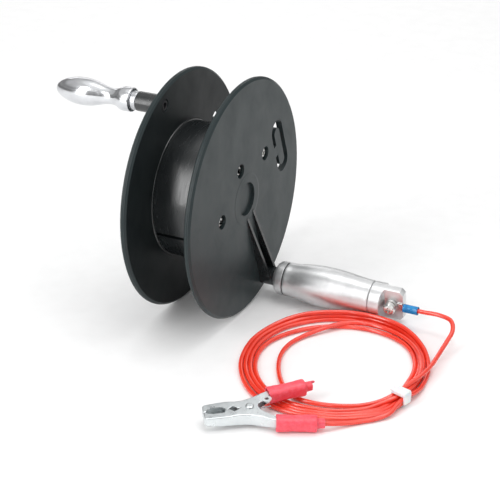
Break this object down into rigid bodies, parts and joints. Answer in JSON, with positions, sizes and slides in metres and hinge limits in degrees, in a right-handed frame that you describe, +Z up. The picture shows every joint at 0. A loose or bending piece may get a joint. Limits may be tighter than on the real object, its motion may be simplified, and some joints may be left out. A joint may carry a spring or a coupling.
{
  "type": "hand winding reel with test lead",
  "caption": "Two-flange hand reel with a revolving crank handle, a revolving metal grip with a screw terminal, and a tied red lead ending in a crocodile clip.",
  "frame": {"origin": "on the floor under the middle of the reel and its two handles, measured without the lead", "axes": "+X along the reel axis from the crank side to the grip side, +Z up; the reel stands on its two rims and on the fat part of its grip"},
  "size_m": [0.303, 0.2581, 0.18],
  "materials": {
    "moulding": "dark grey-black moulded plastic, satin",
    "zinc_steel": "zinc-plated steel",
    "steel": "bright turned steel",
    "spring_steel": "spring steel",
    "polished_aluminium": "polished",
    "turned_aluminium": "satin, turned",
    "bush_plastic": "black plastic",
    "tinned_copper": "tin-plated",
    "blue_sleeve": "blue vinyl",
    "lead_jacket": "orange-red flexible jacket",
    "tie_nylon": "white nylon",
    "clip_plate": "bright plated steel sheet",
    "boot_red": "soft red vinyl"
  },
  "bodies": {
    "reel": {"near_half": "moulding", "far_half": "moulding", "near_flange_screw_1": "zinc_steel", "near_flange_screw_2": "zinc_steel", "near_flange_screw_3": "zinc_steel", "far_flange_screw_1": "zinc_steel", "far_flange_screw_2": "zinc_steel", "far_flange_screw_3": "zinc_steel", "crank_spindle": "steel", "crank_snap_ring": "spring_steel", "crank_fixing_screw": "zinc_steel", "grip_fixing_screw": "zinc_steel", "grip_axle": "steel", "grip_front_ring": "turned_aluminium", "grip_thrust_washer": "bush_plastic", "end_block": "turned_aluminium", "terminal_screw": "zinc_steel", "terminal_lock_washer": "zinc_steel", "terminal_washer": "zinc_steel", "ring_lug": "tinned_copper", "lug_sleeve": "blue_sleeve", "lead_in": "lead_jacket", "lead_coil": "lead_jacket", "lead_out": "lead_jacket", "cable_tie": "tie_nylon", "clip_jaw_fixed": "clip_plate", "clip_rivet": "clip_plate", "clip_spring": "spring_steel", "clip_boot_fixed": "boot_red"},
    "grip": {"grip_sleeve": "turned_aluminium", "grip_front_bush": "bush_plastic", "grip_rear_bush": "bush_plastic"},
    "crank": {"crank_handle": "polished_aluminium"},
    "clip_jaw": {"clip_jaw_moving": "clip_plate", "clip_boot_moving": "boot_red"}
  },
  "joints": [
    {"name": "crank_spin", "type": "hinge", "parent": "reel", "child": "crank", "pos_m": [-0.09615, -0.02849, 0.16422], "axis": [1, 0, 0], "continuous": true},
    {"name": "grip_spin", "type": "hinge", "parent": "reel", "child": "grip", "pos_m": [0.06835, 0.02849, 0.01578], "axis": [1, 0, 0], "continuous": true},
    {"name": "clip_open", "type": "hinge", "parent": "reel", "child": "clip_jaw", "pos_m": [0.0849, -0.1441, 0.0082], "axis": [-0.0838, 0.1111, -0.9903], "range_deg": [0, 20], "stiffness_Nm_per_rad": 0.4, "springref_deg": -28.65}
  ]
}
